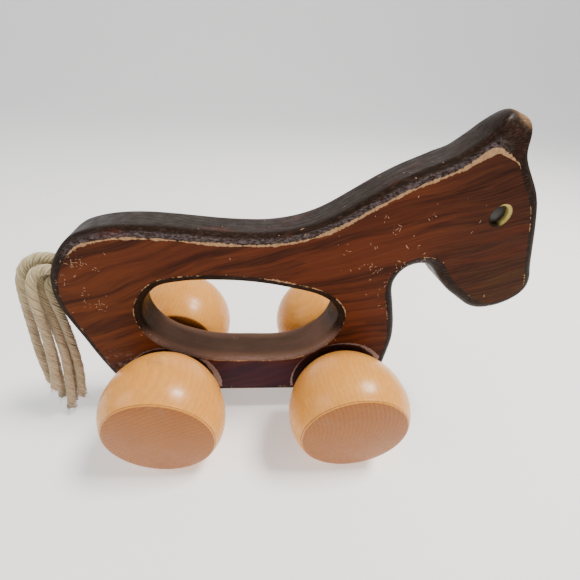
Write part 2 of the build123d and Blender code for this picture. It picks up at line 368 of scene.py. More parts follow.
def stained_board():
    """Dark stained softwood: rings, streaks, worn rims, nicks and scratches."""
    g = BoardGraph()
    on_face = g.step(g.rim, -0.6, 0.4)
    color = g.mix(on_face, rims_and_walls(g), rub_rings(g, stain(g)))
    chip = g.noise(g.mm, 1.3, 3.0, 0.65)
    worn = worn_line(g, chip)
    bare = g.mix(chip, srgb(126, 88, 54), srgb(212, 170, 128))
    color = g.mix(g.times(worn, 0.85), color, bare)
    nick = nicks(g)
    color = g.tint(color, nick, 0.85, (190, 148, 116))
    dust_spot = g.near(g.mm, (-106.0, -13.0, 46.0), 13.0)
    dust = g.times(dust_spot, g.step(g.noise(g.mm, 2.4, 4.0, 0.7), 0.5, 0.68))
    color = g.tint(color, dust, 0.6, (150, 132, 120))
    g.set(Base_Color=g.mix(g.attribute("raw"), color, bare_seat(g)))

    bare_all = g.math("MAXIMUM", g.math("MAXIMUM", worn, nick), dust)
    patchy = g.noise(g.mm, 6.0, 4.0, 0.65)
    rim_rough = g.step(patchy, 0.3, 0.7, 0.27, 0.45)
    rough = g.mix(on_face, rim_rough, g.step(patchy, 0.3, 0.7, 0.36, 0.5))
    g.set(Roughness=g.mix(g.times(bare_all, 0.9), rough, (0.75,) * 3 + (1.0,)))
    g.set(Specular_IOR_Level=0.05)

    height = g.times(g.minus(g.fibre, 0.5), 0.035)
    height = g.plus(height, g.times(g.late, 0.03))
    height = g.plus(height, g.times(g.noise(g.mm, 0.9, 3.0, 0.7), 0.05))
    height = g.minus(height, g.times(nick, 0.16))
    height = g.minus(height, g.times(worn, 0.12))
    g.bump(height)
    return g.material


def ball_wood(name, pith, shift):
    """Clear-varnished pale wood with the grain along the axle, darker on the cut ends, partly for the
    end grain and partly as painted shade.
    """
    g = Graph(name)
    mm = g.place_in_mm()
    mm = g.vector("ADD", mm, (shift, shift * 0.6, -shift))
    x, _, z = g.parts(mm)[:3]
    normal = g.parts(g.normal)
    face = g.step(g.math("ABSOLUTE", normal[1]), 0.72, 0.97)
    bow = g.times(g.minus(g.noise(mm, 55.0, 2.0), 0.5), 9.0)
    from_pith = g.join(g.minus(x, pith[0]), g.minus(z, pith[1]), 0.0)
    radius = g.vector("LENGTH", from_pith)
    radius = g.plus(radius, bow)
    saw = g.math("FRACT", g.math("DIVIDE", radius, 2.3))
    ring = g.times(g.step(saw, 0.2, 0.85), g.step(saw, 1.0, 0.92))
    blotch = g.noise(mm, (24.0, 34.0, 24.0), 3.0)
    figure = g.noise(mm, (1.3, 14.0, 1.3), 3.0, 0.6)
    fleck = g.noise(mm, (0.5, 2.6, 1.6), 2.0)
    speck = g.noise(mm, (0.42, 2.2, 0.42), 2.0)
    pore = g.times(g.step(speck, 0.70, 0.76), g.step(blotch, 0.35, 0.6))

    side = g.mix(blotch, srgb(220, 142, 56), srgb(238, 172, 80))
    side = g.mix(g.step(figure, 0.3, 0.75, 0.0, 0.4), side, srgb(196, 122, 58))
    side = g.mix(g.step(fleck, 0.52, 0.7, 0.0, 0.28), side, srgb(242, 188, 100))
    side = g.tint(side, ring, 0.14, (172, 104, 48))
    # The cut ends are darker, partly for the end grain and partly as painted shade.
    end = g.mix(blotch, srgb(150, 84, 18), srgb(172, 102, 28))
    end = g.tint(end, ring, 0.5, (124, 64, 20))
    dots = g.step(g.noise(mm, 0.8, 3.0, 0.7), 0.5, 0.72)
    end = g.tint(end, dots, 0.3, (190, 126, 60))
    color = g.mix(face, side, end)
    color = g.tint(color, pore, 0.7, (112, 70, 40))
    smudge = g.times(g.step(g.noise(mm, 15.0, 4.0, 0.6), 0.6, 0.78), 0.3)
    color = g.mix(smudge, color, srgb(140, 112, 88))
    g.set(Base_Color=color)
    g.set(Roughness=g.step(g.noise(mm, 5.0, 4.0, 0.65), 0.3, 0.75, 0.22, 0.42))
    g.set(Specular_IOR_Level=0.3)
    height = g.times(figure, 0.02)
    height = g.plus(height, g.times(g.noise(mm, 1.6, 3.0), 0.035))
    height = g.minus(height, g.times(pore, 0.05))
    g.bump(height)
    return g.material


def dowel():
    """Bare hardwood dowel, grain along the axle."""
    g = Graph("dowel")
    mm = g.place_in_mm()
    grain = g.noise(mm, (1.1, 20.0, 1.1), 4.0, 0.6)
    pore = g.noise(mm, (0.3, 3.0, 0.3), 2.0)
    color = g.mix(grain, srgb(176, 130, 86), srgb(206, 164, 118))
    color = g.mix(g.step(pore, 0.62, 0.72, 0.0, 0.5), color, srgb(120, 82, 50))
    g.set(Base_Color=color)
    g.set(Roughness=g.step(grain, 0.3, 0.7, 0.5, 0.7))
    g.bump(g.times(g.plus(grain, pore), 0.04))
    return g.material


def eye_black():
    """Blue-black stained plug, rubbed at its rim."""
    g = Graph("eye_plug")
    mm = g.place_in_mm()
    mottle = g.noise(mm, 1.4, 4.0, 0.6)
    rub = g.times(g.attribute("edge"), g.step(mottle, 0.45, 0.7))
    color = g.mix(mottle, srgb(26, 22, 19), srgb(46, 40, 34))
    color = g.tint(color, rub, 0.6, (128, 110, 66))
    g.set(Base_Color=color)
    g.set(Roughness=g.step(mottle, 0.3, 0.7, 0.3, 0.5))
    g.bump(g.times(mottle, 0.06))
    return g.material


def cord_fibre():
    """Twisted plant-fibre yarn: each yarn its own tone, with fine fibres along it."""
    g = Graph("tail_cord")
    mm = g.place_in_mm()
    tone = g.attribute("tone")
    turn = g.attribute("turn")
    run = g.attribute("run")
    twisted = g.plus(g.times(turn, 7.0), g.times(run, 1.3))
    fibres = g.join(twisted, run, tone)
    fine = g.noise(fibres, (0.45, 4.5, 0.3), 3.0, 0.65)
    stain = g.noise(mm, 9.0, 3.0)
    pale = g.mix(tone, srgb(186, 166, 122), srgb(214, 198, 158))
    dull = g.mix(tone, srgb(182, 158, 126), srgb(214, 190, 156))
    z = g.parts(mm)[2]
    low = g.step(g.plus(z, g.times(stain, 26.0)), 118.0, 84.0)
    color = g.mix(low, pale, dull)
    color = g.mix(g.step(stain, 0.45, 0.7, 0.0, 0.35), color, srgb(168, 156, 112))
    color = g.mix(g.times(g.step(fine, 0.58, 0.36), 0.55), color, srgb(104, 82, 56))
    color = g.mix(g.step(fine, 0.55, 0.75, 0.0, 0.45), color, srgb(226, 212, 176))
    # Greyer and darker towards the bottom ends of the cords.
    toward_bottom_grey = g.step(g.plus(z, g.times(stain, 20.0)), 32.0, 14.0)
    color = g.tint(color, toward_bottom_grey, 0.55, (112, 102, 94))
    g.set(Base_Color=color)
    g.set(Roughness=0.9)
    g.set(Specular_IOR_Level=0.2)
    g.set(Sheen_Weight=0.35)
    g.set(Sheen_Roughness=0.5)
    g.bump(g.times(fine, 0.22))
    return g.material


# ---- mesh helpers


def new_piece(name, mesh, body, slot_name, material, *nodes):
    """A named piece that rides on a body and stands for CAD nodes."""
    piece = link(name, mesh)
    mesh.materials.clear()
    mesh.materials.append(material)
    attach(piece, body)
    if nodes:
        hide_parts(*nodes)
    return piece


def set_attribute(mesh, name, values):
    attribute = mesh.attributes.new(name, "FLOAT", "POINT")
    attribute.data.foreach_set("value", np.asarray(values, np.float32))


def points_of(mesh):
    """The mesh's points in mm."""
    co = np.empty(len(mesh.vertices) * 3)
    mesh.vertices.foreach_get("co", co)
    return co.reshape(-1, 3) / MM


def middle_of(node):
    """The middle (x, z) of a CAD node's box, in metres."""
    low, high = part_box(node)
    return np.array([(low.x + high.x) / 2, (low.z + high.z) / 2])


def on_middle_plane(node):
    x, z = middle_of(node)
    return (x, 0.0, z)


def run_along(line):
    """How far along the line each of its points lies."""
    return np.concatenate([[0], np.cumsum(np.linalg.norm(np.diff(line, axis=0), axis=1))])


def turn_angles(count):
    """Angles evenly round one turn."""
    return np.linspace(0, 2 * math.pi, count, endpoint=False)


def mesh_from(name, points, faces):
    mesh = bpy.data.meshes.new(name)
    mesh.from_pydata([tuple(p) for p in points], [], faces)
    mesh.validate()
    mesh.shade_smooth()
    return mesh


def lathe(name, profile, middle, segments, wobble=0.0):
    """Turns a profile of (along, radius) in mm about the Y axis through middle, in metres.

    wobble is how uneven the radius is, in mm. The mesh is closed where the profile starts
    and ends on the axis."""
    angles = turn_angles(segments)
    uneven = sum(
        share * np.sin(k * angles + rng.uniform(0, 2 * math.pi))
        for k, share in ((2, 0.4), (3, 0.3), (5, 0.2), (9, 0.1))
    )
    widest = max(radius for _, radius in profile)
    points, rows = [], []
    for along, radius in profile:
        if radius < 1e-6:
            rows.append([len(points)])
            points.append((middle[0], middle[1] + along * MM, middle[2]))
            continue
        rows.append(list(range(len(points), len(points) + segments)))
        swell = radius + wobble * uneven * radius / widest
        for angle, r in zip(angles, swell):
            x = middle[0] + r * MM * math.cos(angle)
            z = middle[2] + r * MM * math.sin(angle)
            points.append((x, middle[1] + along * MM, z))
    faces = []
    for row, after in zip(rows, rows[1:]):
        for i in range(segments):
            j = (i + 1) % segments
            if len(row) == 1:
                faces.append((row[0], after[j], after[i]))
            elif len(after) == 1:
                faces.append((row[i], row[j], after[0]))
            else:
                faces.append((row[i], row[j], after[j], after[i]))
    return mesh_from(name, points, faces)


def face_outwards(mesh):
    shape = bmesh.new()
    shape.from_mesh(mesh)
    bmesh.ops.recalc_face_normals(shape, faces=shape.faces)
    shape.to_mesh(mesh)
    shape.free()
    return mesh


def arc_points(middle, radius, start, end, count):
    """Points (first, second) on an arc, angles in degrees from the first axis."""
    angles = [math.radians(start + (end - start) * i / count) for i in range(count + 1)]
    return [(middle[0] + radius * math.cos(a), middle[1] + radius * math.sin(a)) for a in angles]


# ---- board

OUTER_ROUND = 5.0
GRIP_ROUND = 4.2
CUT_DEPTH = 3.0  # the section that gives the outlines lies this far inside the face
OUTLINE_STEP = 1.05
FILL_STEP = 2.1
EYE_SEAT_RADIUS = 5.1
EYE_SEAT_DEPTH = 2.6
EYE_HOLE_RADIUS = 4.02
EYE_HOLE_DEPTH = 3.2
TAIL_MOUTH = Vector((-0.1269, 0.0, 0.1010))
TAIL_ANGLE = math.radians(158)
TAIL_HOLE_RADIUS = 8.05
TAIL_HOLE_DEPTH = 6.1
TAIL_FLARE = 1.6
EAR_ANGLE = math.radians(73.5)
EAR_CROWN_START = 168.0
EAR_CROWN = (23.3, 14.0)
EAR_SLOPE_START = np.array([68.0, 9.0, 162.1])
EAR_SLOPE_NORMAL = np.array([-0.521, 0.378, 0.765])
EAR_SLOPE_SOFTNESS = 1.6
EAR_SLOPE_FADE = (58.0, 66.0)  # x where the slope starts to bite and where it does so fully
HEAD_LEVEL = 0.3  # the head's outline is read this far from the middle plane
MANE_X = (18, 72)
MANE_Z = 125
MANE_PASSES = 80
BORE_SLACK = 0.08


def board_sections(level):
    """The CAD board's outline, hand hole and bores as closed loops (x, z) in mm, longest first."""
    shape = bmesh.new()
    shape.from_mesh(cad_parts["body"].data)
    bmesh.ops.remove_doubles(shape, verts=shape.verts, dist=1e-6)
    everything = [*shape.verts, *shape.edges, *shape.faces]
    place = (0, level * MM, 0)
    cut = bmesh.ops.bisect_plane(shape, geom=everything, plane_co=place, plane_no=(0, 1, 0))
    links = {}
    places = {}
    for edge in cut["geom_cut"]:
        if not isinstance(edge, bmesh.types.BMEdge):
            continue
        keys = []
        for vert in edge.verts:
            key = (round(vert.co.x, 7), round(vert.co.z, 7))
            places[key] = (vert.co.x / MM, vert.co.z / MM)
            keys.append(key)
        if keys[0] != keys[1]:
            links.setdefault(keys[0], []).append(keys[1])
            links.setdefault(keys[1], []).append(keys[0])
    shape.free()
    loops, seen = [], set()
    for start in links:
        if start in seen:
            continue
        loop, here = [], start
        while here is not None:
            seen.add(here)
            loop.append(places[here])
            here = next((k for k in links[here] if k not in seen), None)
        loops.append(np.array(loop))
    return sorted(loops, key=lambda loop: -len_round(loop))


def len_round(loop):
    return np.linalg.norm(np.roll(loop, -1, 0) - loop, axis=1).sum()


def area_of(loop):
    after = np.roll(loop, -1, 0)
    return 0.5 * (loop[:, 0] * after[:, 1] - after[:, 0] * loop[:, 1]).sum()


def evened(loop, step, passes, left_turning):
    """The loop with even steps, lightly smoothed, turning left or right."""
    if (area_of(loop) > 0) != left_turning:
        loop = loop[::-1]
    closed = np.vstack([loop, loop[:1]])
    along = run_along(closed)
    at = np.linspace(0, along[-1], round(along[-1] / step), endpoint=False)
    points = np.stack([np.interp(at, along, closed[:, k]) for k in range(2)], axis=1)
    for _ in range(passes):
        points = 0.5 * points + 0.25 * (np.roll(points, 1, 0) + np.roll(points, -1, 0))
    return points


def stretch(loop, keep):
    """The one run of the loop's points that are kept, in order."""
    start = np.flatnonzero(keep & ~np.roll(keep, 1))[0]
    return np.roll(loop, -start, 0)[: keep.sum()]


def away_from_wood(loop):
    """Unit normals on the right-hand side of the loop's direction."""
    along = np.roll(loop, -1, 0) - np.roll(loop, 1, 0)
    along /= np.linalg.norm(along, axis=1)[:, None]
    return np.stack([along[:, 1], -along[:, 0]], axis=1)


def at_height(loop, y):
    """A loop of (x, z) as points at one Y."""
    return np.column_stack([loop[:, 0], np.full(len(loop), y), loop[:, 1]])


def rim_rows(loop, radius, half):
    """Rows of points over the rounded edge, the wall and the other rounded edge."""
    out = away_from_wood(loop)
    rows = []
    flat = half - radius
    quarter = [math.radians(90 * i / 8) for i in range(9)]
    for a in reversed(quarter):
        rows.append((radius * (1 - math.cos(a)), -flat - radius * math.sin(a)))
    for i in range(1, 12):
        rows.append((0.0, -flat + 2 * flat * i / 12))
    for a in quarter:
        rows.append((radius * (1 - math.cos(a)), flat + radius * math.sin(a)))
    return [at_height(loop - out * inset, y) for inset, y in rows]


def inside(points, loop):
    """Which points lie inside the loop."""
    x, z = points[:, 0][:, None], points[:, 1][:, None]
    a, b = loop, np.roll(loop, -1, 0)
    crosses = (a[:, 1] > z) != (b[:, 1] > z)
    rise = np.where(np.abs(b[:, 1] - a[:, 1]) < 1e-12, 1e-12, b[:, 1] - a[:, 1])
    at = a[:, 0] + (z - a[:, 1]) * (b[:, 0] - a[:, 0]) / rise
    return (crosses & (x < at)).sum(1) % 2 == 1


def in_wood(points, outer, holes):
    keep = inside(points, outer)
    for loop in holes:
        keep &= ~inside(points, loop)
    return keep


def nearest(points, loop):
    """Distance from each point to the nearest stretch of the loop."""
    a, b = loop, np.roll(loop, -1, 0)
    run = b - a
    square = np.maximum((run * run).sum(1), 1e-12)
    best = np.full(len(points), 1e9)
    for part in range(0, len(points), 2000):
        chunk = points[part : part + 2000]
        rel = chunk[:, None, :] - a[None]
        share = np.clip((rel * run).sum(2) / square, 0, 1)
        gap = rel - share[..., None] * run
        best[part : part + 2000] = np.sqrt((gap * gap).sum(2)).min(1)
    return best


def circle(middle, radius, count):
    angles = turn_angles(count)
    return np.column_stack([middle[0] + radius * np.cos(angles), middle[1] + radius * np.sin(angles)])


def filled_face(outer, holes, eye):
    """Triangles of the flat face: points (x, z), faces, and each point's depth in the eye seat."""
    low, high = outer.min(0), outer.max(0)
    grid = []
    for row, z in enumerate(np.arange(low[1], high[1], FILL_STEP * 0.866)):
        shift = FILL_STEP / 2 if row % 2 else 0.0
        grid += [(x + shift, z) for x in np.arange(low[0], high[0], FILL_STEP)]
    grid = np.array(grid)
    keep = in_wood(grid, outer, holes)
    keep &= np.linalg.norm(grid - eye, axis=1) > EYE_SEAT_RADIUS + 1.2
    grid = grid[keep]
    for loop in [outer, *holes]:
        grid = grid[nearest(grid, loop) > 1.0]
    seat_radii = (EYE_SEAT_RADIUS + 0.5, EYE_SEAT_RADIUS, 4.98, 4.85, 4.7, 4.5, 4.25, EYE_HOLE_RADIUS)
    seat = [circle(eye, radius, 56) for radius in seat_radii]
    loops = [outer, *holes, seat[-1], seat[1]]
    points, edges = [], []
    for loop in loops:
        start = len(points)
        points += [Vector(p) for p in loop]
        edges += [(start + i, start + (i + 1) % len(loop)) for i in range(len(loop))]
    for ring in [seat[0], *seat[2:-1]]:
        points += [Vector(p) for p in ring]
    points += [Vector(p) for p in grid]
    made = geometry.delaunay_2d_cdt(points, edges, [], 0, 1e-7)
    flat = np.array([tuple(p) for p in made[0]])
    faces = np.array([tuple(f) for f in made[2]])
    faces = faces[in_wood(flat[faces].mean(1), outer, [*holes, seat[-1]])]
    sphere = (EYE_SEAT_RADIUS**2 + EYE_SEAT_DEPTH**2) / (2 * EYE_SEAT_DEPTH)
    out = np.linalg.norm(flat - eye, axis=1)
    inner = np.clip(out, 0, EYE_SEAT_RADIUS)
    depth = np.sqrt(sphere**2 - inner**2) - (sphere - EYE_SEAT_DEPTH)
    depth[out >= EYE_SEAT_RADIUS - 1e-4] = 0.0
    return flat, faces, depth, seat[-1]


def tube_between(rows, closed_end=False):
    """Faces between rows of equally many points; rows are lists of vertex numbers."""
    faces = []
    for row, after in zip(rows, rows[1:]):
        for i in range(len(row)):
            j = (i + 1) % len(row)
            faces.append((row[i], row[j], after[j], after[i]))
    if closed_end:
        faces.append(tuple(rows[-1]))
    return faces


def tail_cutter():
    """The flared blind hole in the rump as a closed mesh."""
    wide = TAIL_HOLE_RADIUS + TAIL_FLARE + TAIL_HOLE_DEPTH
    profile = [
        (-TAIL_HOLE_DEPTH, 0.0),
        (-TAIL_HOLE_DEPTH, TAIL_HOLE_RADIUS),
        (-TAIL_FLARE, TAIL_HOLE_RADIUS),
        (TAIL_HOLE_DEPTH, wide),
        (TAIL_HOLE_DEPTH, 0.0),
    ]
    mesh = face_outwards(lathe("tail_cutter", profile, (0, 0, 0), 72))
    cutter = link("tail_cutter", mesh)
    direction = Vector((math.cos(TAIL_ANGLE), 0, math.sin(TAIL_ANGLE)))
    turn = Vector((0, 1, 0)).rotation_difference(direction).to_matrix().to_4x4()
    cutter.matrix_world = Matrix.Translation(TAIL_MOUTH) @ turn
    return cutter


def board_outlines(half):
    """The board's outline and its hand hole as even loops, at their widest."""
    loops = board_sections(CUT_DEPTH - half)
    rump = evened(loops[0], OUTLINE_STEP, 3, True)
    hand = evened(loops[1], OUTLINE_STEP, 3, False)
    for loop, radius in ((rump, OUTER_ROUND), (hand, GRIP_ROUND)):
        inset = radius - math.sqrt(radius**2 - (radius - CUT_DEPTH) ** 2)
        loop += away_from_wood(loop) * inset
    head = evened(board_sections(HEAD_LEVEL)[0], OUTLINE_STEP, 3, True)
    outline = np.vstack([stretch(head, head[:, 0] > 0), stretch(rump, rump[:, 0] <= 0)])
    mane = (outline[:, 0] > MANE_X[0]) & (outline[:, 0] < MANE_X[1]) & (outline[:, 1] > MANE_Z)
    for _ in range(MANE_PASSES):
        beside = np.roll(outline, 1, 0) + np.roll(outline, -1, 0)
        outline[mane] = 0.5 * outline[mane] + 0.25 * beside[mane]
    return outline, hand


def axle_bore(axle):
    low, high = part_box(axle)
    return circle(middle_of(axle) / MM, (high.x - low.x) / 2 / MM + BORE_SLACK, 48)


def board_mesh(outline, hand, outer, inner, eye, half):
    """The board without its tail hole: rims and walls, bores, flat faces and eye seats."""
    points, faces = [], []

    def put(rows):
        numbered = []
        for row in rows:
            numbered.append(list(range(len(points), len(points) + len(row))))
            points.extend(map(tuple, row))
        return numbered

    bores = [axle_bore(axle) for axle in ("rear_axle", "front_axle")]
    for loop, radius in ((outline, OUTER_ROUND), (hand, GRIP_ROUND)):
        faces += tube_between(put(rim_rows(loop, radius, half)))
    for bore in bores:
        faces += tube_between(put([at_height(bore, y) for y in (-half, half)]))
    flat, triangles, depth, eye_hole = filled_face(outer, [inner, *bores], eye)
    out = np.linalg.norm(flat - eye, axis=1)
    rim_depth = depth[np.argmin(np.abs(out - EYE_HOLE_RADIUS))]
    hole_depths = (rim_depth, rim_depth + 0.4, EYE_SEAT_DEPTH + EYE_HOLE_DEPTH)
    for side in (-1, 1):
        start = len(points)
        points.extend((x, side * (half - d), z) for (x, z), d in zip(flat, depth))
        faces += [tuple(int(start + i) for i in face) for face in triangles]
        rows = [at_height(eye_hole, side * (half - d)) for d in hole_depths]
        faces += tube_between(put(rows), closed_end=True)
    return mesh_from("body_mesh", np.array(points) * MM, faces)


def close_gaps(mesh):
    """Joins points that coincide and closes what gaps are left."""
    shape = bmesh.new()
    shape.from_mesh(mesh)
    bmesh.ops.remove_doubles(shape, verts=shape.verts, dist=2e-5)
    bmesh.ops.dissolve_degenerate(shape, edges=shape.edges, dist=1e-6)
    gaps = [edge for edge in shape.edges if edge.is_boundary]
    bmesh.ops.holes_fill(shape, edges=gaps, sides=0)
    bmesh.ops.recalc_face_normals(shape, faces=shape.faces)
    shape.to_mesh(mesh)
    shape.free()


def with_tail_hole(mesh):
    board = link("body_cut", mesh)
    cutter = tail_cutter()
    cut = board.modifiers.new("tail", "BOOLEAN")
    cut.operation, cut.solver, cut.object = "DIFFERENCE", "EXACT", cutter
    bpy.context.view_layer.update()
    whole = board.evaluated_get(bpy.context.evaluated_depsgraph_get())
    final = bpy.data.meshes.new_from_object(whole)
    bpy.data.objects.remove(board)
    bpy.data.objects.remove(cutter)
    final.shade_smooth()
    final.set_sharp_from_angle(angle=math.radians(38))
    return final


def make_board(material):
    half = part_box("body")[1].y / MM
    eye = middle_of("eye_right") / MM
    outline, hand = board_outlines(half)
    outer = outline - away_from_wood(outline) * OUTER_ROUND
    inner = hand - away_from_wood(hand) * GRIP_ROUND
    mesh = board_mesh(outline, hand, outer, inner, eye, half)
    close_gaps(mesh)
    final = with_tail_hole(mesh)
    add_board_attributes(final, outline, hand, outer, inner, eye, half)
    round_ear(final)
    new_piece("horse_board", final, "horse", "stained_board", material, "body")


def round_ear(mesh):
    """Closes the ear's tip across the board and wears its left side off."""
    co = points_of(mesh)
    pointing = np.array([math.cos(EAR_ANGLE), 0, math.sin(EAR_ANGLE)])
    along = co @ pointing
    reach = EAR_CROWN[0] * np.sqrt(1 - (co[:, 1] / EAR_CROWN[1]) ** 2)
    share = np.clip(along - EAR_CROWN_START, 0, None) / reach
    closed = EAR_CROWN_START + reach * share / (1 + share**8) ** (1 / 8)
    co += np.where(share > 0, closed - along, 0)[:, None] * pointing
    above = (co - EAR_SLOPE_START) @ EAR_SLOPE_NORMAL
    over = EAR_SLOPE_SOFTNESS * np.logaddexp(0, above / EAR_SLOPE_SOFTNESS)
    fade_start, fade_end = EAR_SLOPE_FADE
    ramp = np.clip((co[:, 0] - fade_start) / (fade_end - fade_start), 0, 1)
    co -= (over * ramp * ramp * (3 - 2 * ramp))[:, None] * EAR_SLOPE_NORMAL
    mesh.vertices.foreach_set("co", (co * MM).ravel())
    mesh.update()


def add_board_attributes(mesh, outline, hand, outer, inner, eye, half):
    """rim: mm inside the flat face (positive) or round the edge (negative); grip: the hand
    hole's side; raw: bare wood in the eye seats."""
    co = points_of(mesh)
    flat = co[:, [0, 2]]
    to_outline, to_hand = nearest(flat, outline), nearest(flat, hand)
    grip = to_hand < to_outline
    radius = np.where(grip, GRIP_ROUND, OUTER_ROUND)
    height = np.abs(co[:, 1])
    on_face = height > half - 0.01
    seat = np.linalg.norm(flat - eye, axis=1) < EYE_SEAT_RADIUS + 0.02
    on_face |= seat & (height > half - EYE_SEAT_DEPTH - EYE_HOLE_DEPTH - 0.1)
    rise = np.clip((height - (half - radius)) / radius, 0, 1)
    arc = radius * (math.pi / 2 - np.arcsin(rise))
    arc += np.clip(half - radius - height, 0, None)
    to_rim = np.minimum(nearest(flat, outer), nearest(flat, inner))
    rim = np.where(on_face, to_rim, -arc)
    set_attribute(mesh, "rim", rim)
    set_attribute(mesh, "grip", grip.astype(float))
    out = np.linalg.norm(flat - eye, axis=1)
    raw = np.clip((EYE_SEAT_RADIUS - out) / 0.25, 0, 1) * (height > half - 4.0)
    set_attribute(mesh, "raw", raw)


# ---- eyes

EYE_DOME = 0.55


def make_eye(hand, side, material):
    low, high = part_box(f"eye_{hand}")
    radius = (high.x - low.x) / 2 / MM - 0.01
    front = (high.y if side > 0 else low.y) / MM
    back = side * (abs(front) - 3.0)
    middle = on_middle_plane(f"eye_{hand}")
    profile = [(back, 0.0), (back, radius)]
    profile += [(front - side * 1.0, radius), (front - side * 0.55, radius * 0.99)]
    for share in (0.95, 0.9, 0.82, 0.7, 0.55, 0.4, 0.25, 0.12, 0.0):
        profile.append((front - side * (0.1 + EYE_DOME * share**2), radius * share))
    mesh = face_outwards(lathe(f"eye_{hand}_mesh", profile, middle, 48, 0.03))
    out = [math.hypot(v.co.x - middle[0], v.co.z - middle[2]) / MM / radius for v in mesh.vertices]
    set_attribute(mesh, "edge", np.clip((np.array(out) - 0.8) / 0.15, 0, 1))
    new_piece(f"eye_plug_{hand}", mesh, "horse", "eye_plug", material, f"eye_{hand}")


# ---- wheels

WHEEL_PLANE = 48.9
WHEEL_RADIUS = 35.0
OUTER_DEPTH, OUTER_FACE_RADIUS = 17.3, 29.7
INNER_DEPTH, INNER_FACE_RADIUS = 30.4, 23.3
FACE_DOME = 1.6
EDGE_ROUND = 1.1
SOCKET_RADIUS = 5.0
SOCKET_DEPTH = 6.0


def ball_arc(depth, face_radius, count):
    """From the widest section to a flat face: (depth, radius) points on one arc."""
    middle = (depth**2 + face_radius**2 - WHEEL_RADIUS**2) / (2 * (face_radius - WHEEL_RADIUS))
    radius = WHEEL_RADIUS - middle
    end = math.degrees(math.atan2(face_radius - middle, depth))
    return arc_points((0.0, middle), radius, 90.0, end, count)


def rounded_corner(before, corner, after, radius, count=5):
    """A corner of a profile as a small arc-like curve."""
    a, b, c = (np.array(p, float) for p in (before, corner, after))
    start = b + (a - b) / np.linalg.norm(a - b) * radius
    end = b + (c - b) / np.linalg.norm(c - b) * radius
    shares = np.linspace(0, 1, count + 1)
    return [tuple((1 - t) ** 2 * start + 2 * t * (1 - t) * b + t * t * end) for t in shares]


def wheel_profile():
    """(outward, radius) points from the inner face's middle to the outer face's middle."""
    outer = ball_arc(OUTER_DEPTH, OUTER_FACE_RADIUS, 22)
    inner = [(-d, r) for d, r in ball_arc(INNER_DEPTH, INNER_FACE_RADIUS, 30)]
    rim_corner = rounded_corner(
        outer[-2], outer[-1], (OUTER_DEPTH + 0.2, OUTER_FACE_RADIUS - 4), EDGE_ROUND
    )
    back_corner = rounded_corner((-INNER_DEPTH, INNER_FACE_RADIUS - 4), inner[-1], inner[-2], EDGE_ROUND)
    dome = [
        (OUTER_DEPTH + FACE_DOME * (1 - share**2), OUTER_FACE_RADIUS * share)
        for share in np.linspace(0.94, 0.0, 16)
    ]
    socket = [
        (-INNER_DEPTH + SOCKET_DEPTH, 0.0),
        (-INNER_DEPTH + SOCKET_DEPTH, SOCKET_RADIUS + 0.05),
        (-INNER_DEPTH + 0.1, SOCKET_RADIUS + 0.05),
        (-INNER_DEPTH, SOCKET_RADIUS + 0.2),
    ]
    flat = [(-INNER_DEPTH, r) for r in np.linspace(7, INNER_FACE_RADIUS - 2, 6)]
    return socket + flat + back_corner + inner[-2:0:-1] + outer[:-1] + rim_corner + dome


def make_wheel(end, hand, side, material):
    node = f"{end}_wheel_{hand}"
    middle = on_middle_plane(node)
    profile = [(side * (WHEEL_PLANE + along), radius) for along, radius in wheel_profile()]
    mesh = face_outwards(lathe(f"{node}_mesh", profile, middle, 128, 0.12))
    new_piece(f"{end}_ball_{hand}", mesh, f"{end}_wheelset", "ball_wheel", material, node)


# ---- tail

CORD_DIAMETER = 5.2
YARNS = 7
YARN_RADIUS = 0.69
LAY_LENGTH = 13.5  # one turn of the yarns
CORE_RADIUS = 1.45
STRAY_HAIRS = 130
TUFT_HAIRS = 46
TAIL_ROUTES = {
    "tail_cord_1": [
        (-119.3, 0, 103.7), (-126.3, 0, 106.6), (-136.3, -1, 106.6),
        (-143.8, -2.5, 101.6), (-147.9, -4, 92.8), (-150.0, -5.5, 80.8),
        (-152.5, -7.5, 65.8), (-154.8, -9.5, 50.2), (-156.2, -11, 36.4),
        (-156.4, -12, 28.0),
    ],
    "tail_cord_2": [
        (-120.7, -5.1, 100.3), (-127.3, -5.1, 102.9), (-134.8, -6.6, 102.4),
        (-139.4, -9, 96.3), (-140.8, -11, 87.5), (-141.2, -12.6, 77),
        (-142.4, -14.0, 65), (-144.9, -15.4, 52.5), (-148.2, -16.8, 38.5),
        (-151.4, -18.0, 27.5),
    ],
    "tail_cord_3": [
        (-120.7, 5.1, 100.3), (-127.3, 5.1, 102.9), (-136.1, 5.1, 102.6),
        (-142.4, 4.6, 97.2), (-145.6, 3.2, 88.6), (-147.6, 1.2, 77),
        (-149.6, -1.0, 63.5), (-151.0, -3.4, 48.5), (-153.0, -5.4, 33.5),
        (-155.6, -7.0, 20), (-158.2, -7.8, 9),
    ],
    "tail_cord_4": [
        (-121.3, 0, 98.8), (-127.6, 0, 101.3), (-134.8, -1.4, 100.3),
        (-138.5, -3.2, 93.6), (-138.8, -5.2, 84), (-138.4, -7.2, 74),
        (-138.6, -9.6, 61.5), (-139.8, -12, 47), (-143.0, -14, 32),
        (-146.8, -15.2, 18), (-150.4, -16.0, 6.5),
    ],
    "tail_cord_5": [
        (-123.0, -3.1, 94.8), (-128.4, -3.1, 97.0), (-133.1, -4.6, 94.1),
        (-133.5, -5.6, 88.0), (-133.0, -6.6, 79), (-133.1, -7.8, 68),
        (-133.5, -9, 55.5), (-134.8, -10.2, 42), (-137.8, -11.2, 28),
        (-141.6, -11.8, 14.5),
    ],
    "tail_cord_6": [
        (-123.0, 3.1, 94.8), (-128.6, 3.1, 97.0), (-135.0, 3.4, 96.0),
        (-138.9, 2.5, 90.2), (-140.0, 1.4, 81.5), (-140.3, -0.2, 71),
        (-140.4, -2.6, 58.5), (-141.4, -5.2, 44.5), (-144.0, -7.4, 30),
        (-147.4, -8.8, 17.5), (-151.0, -9.6, 7.5),
    ],
}


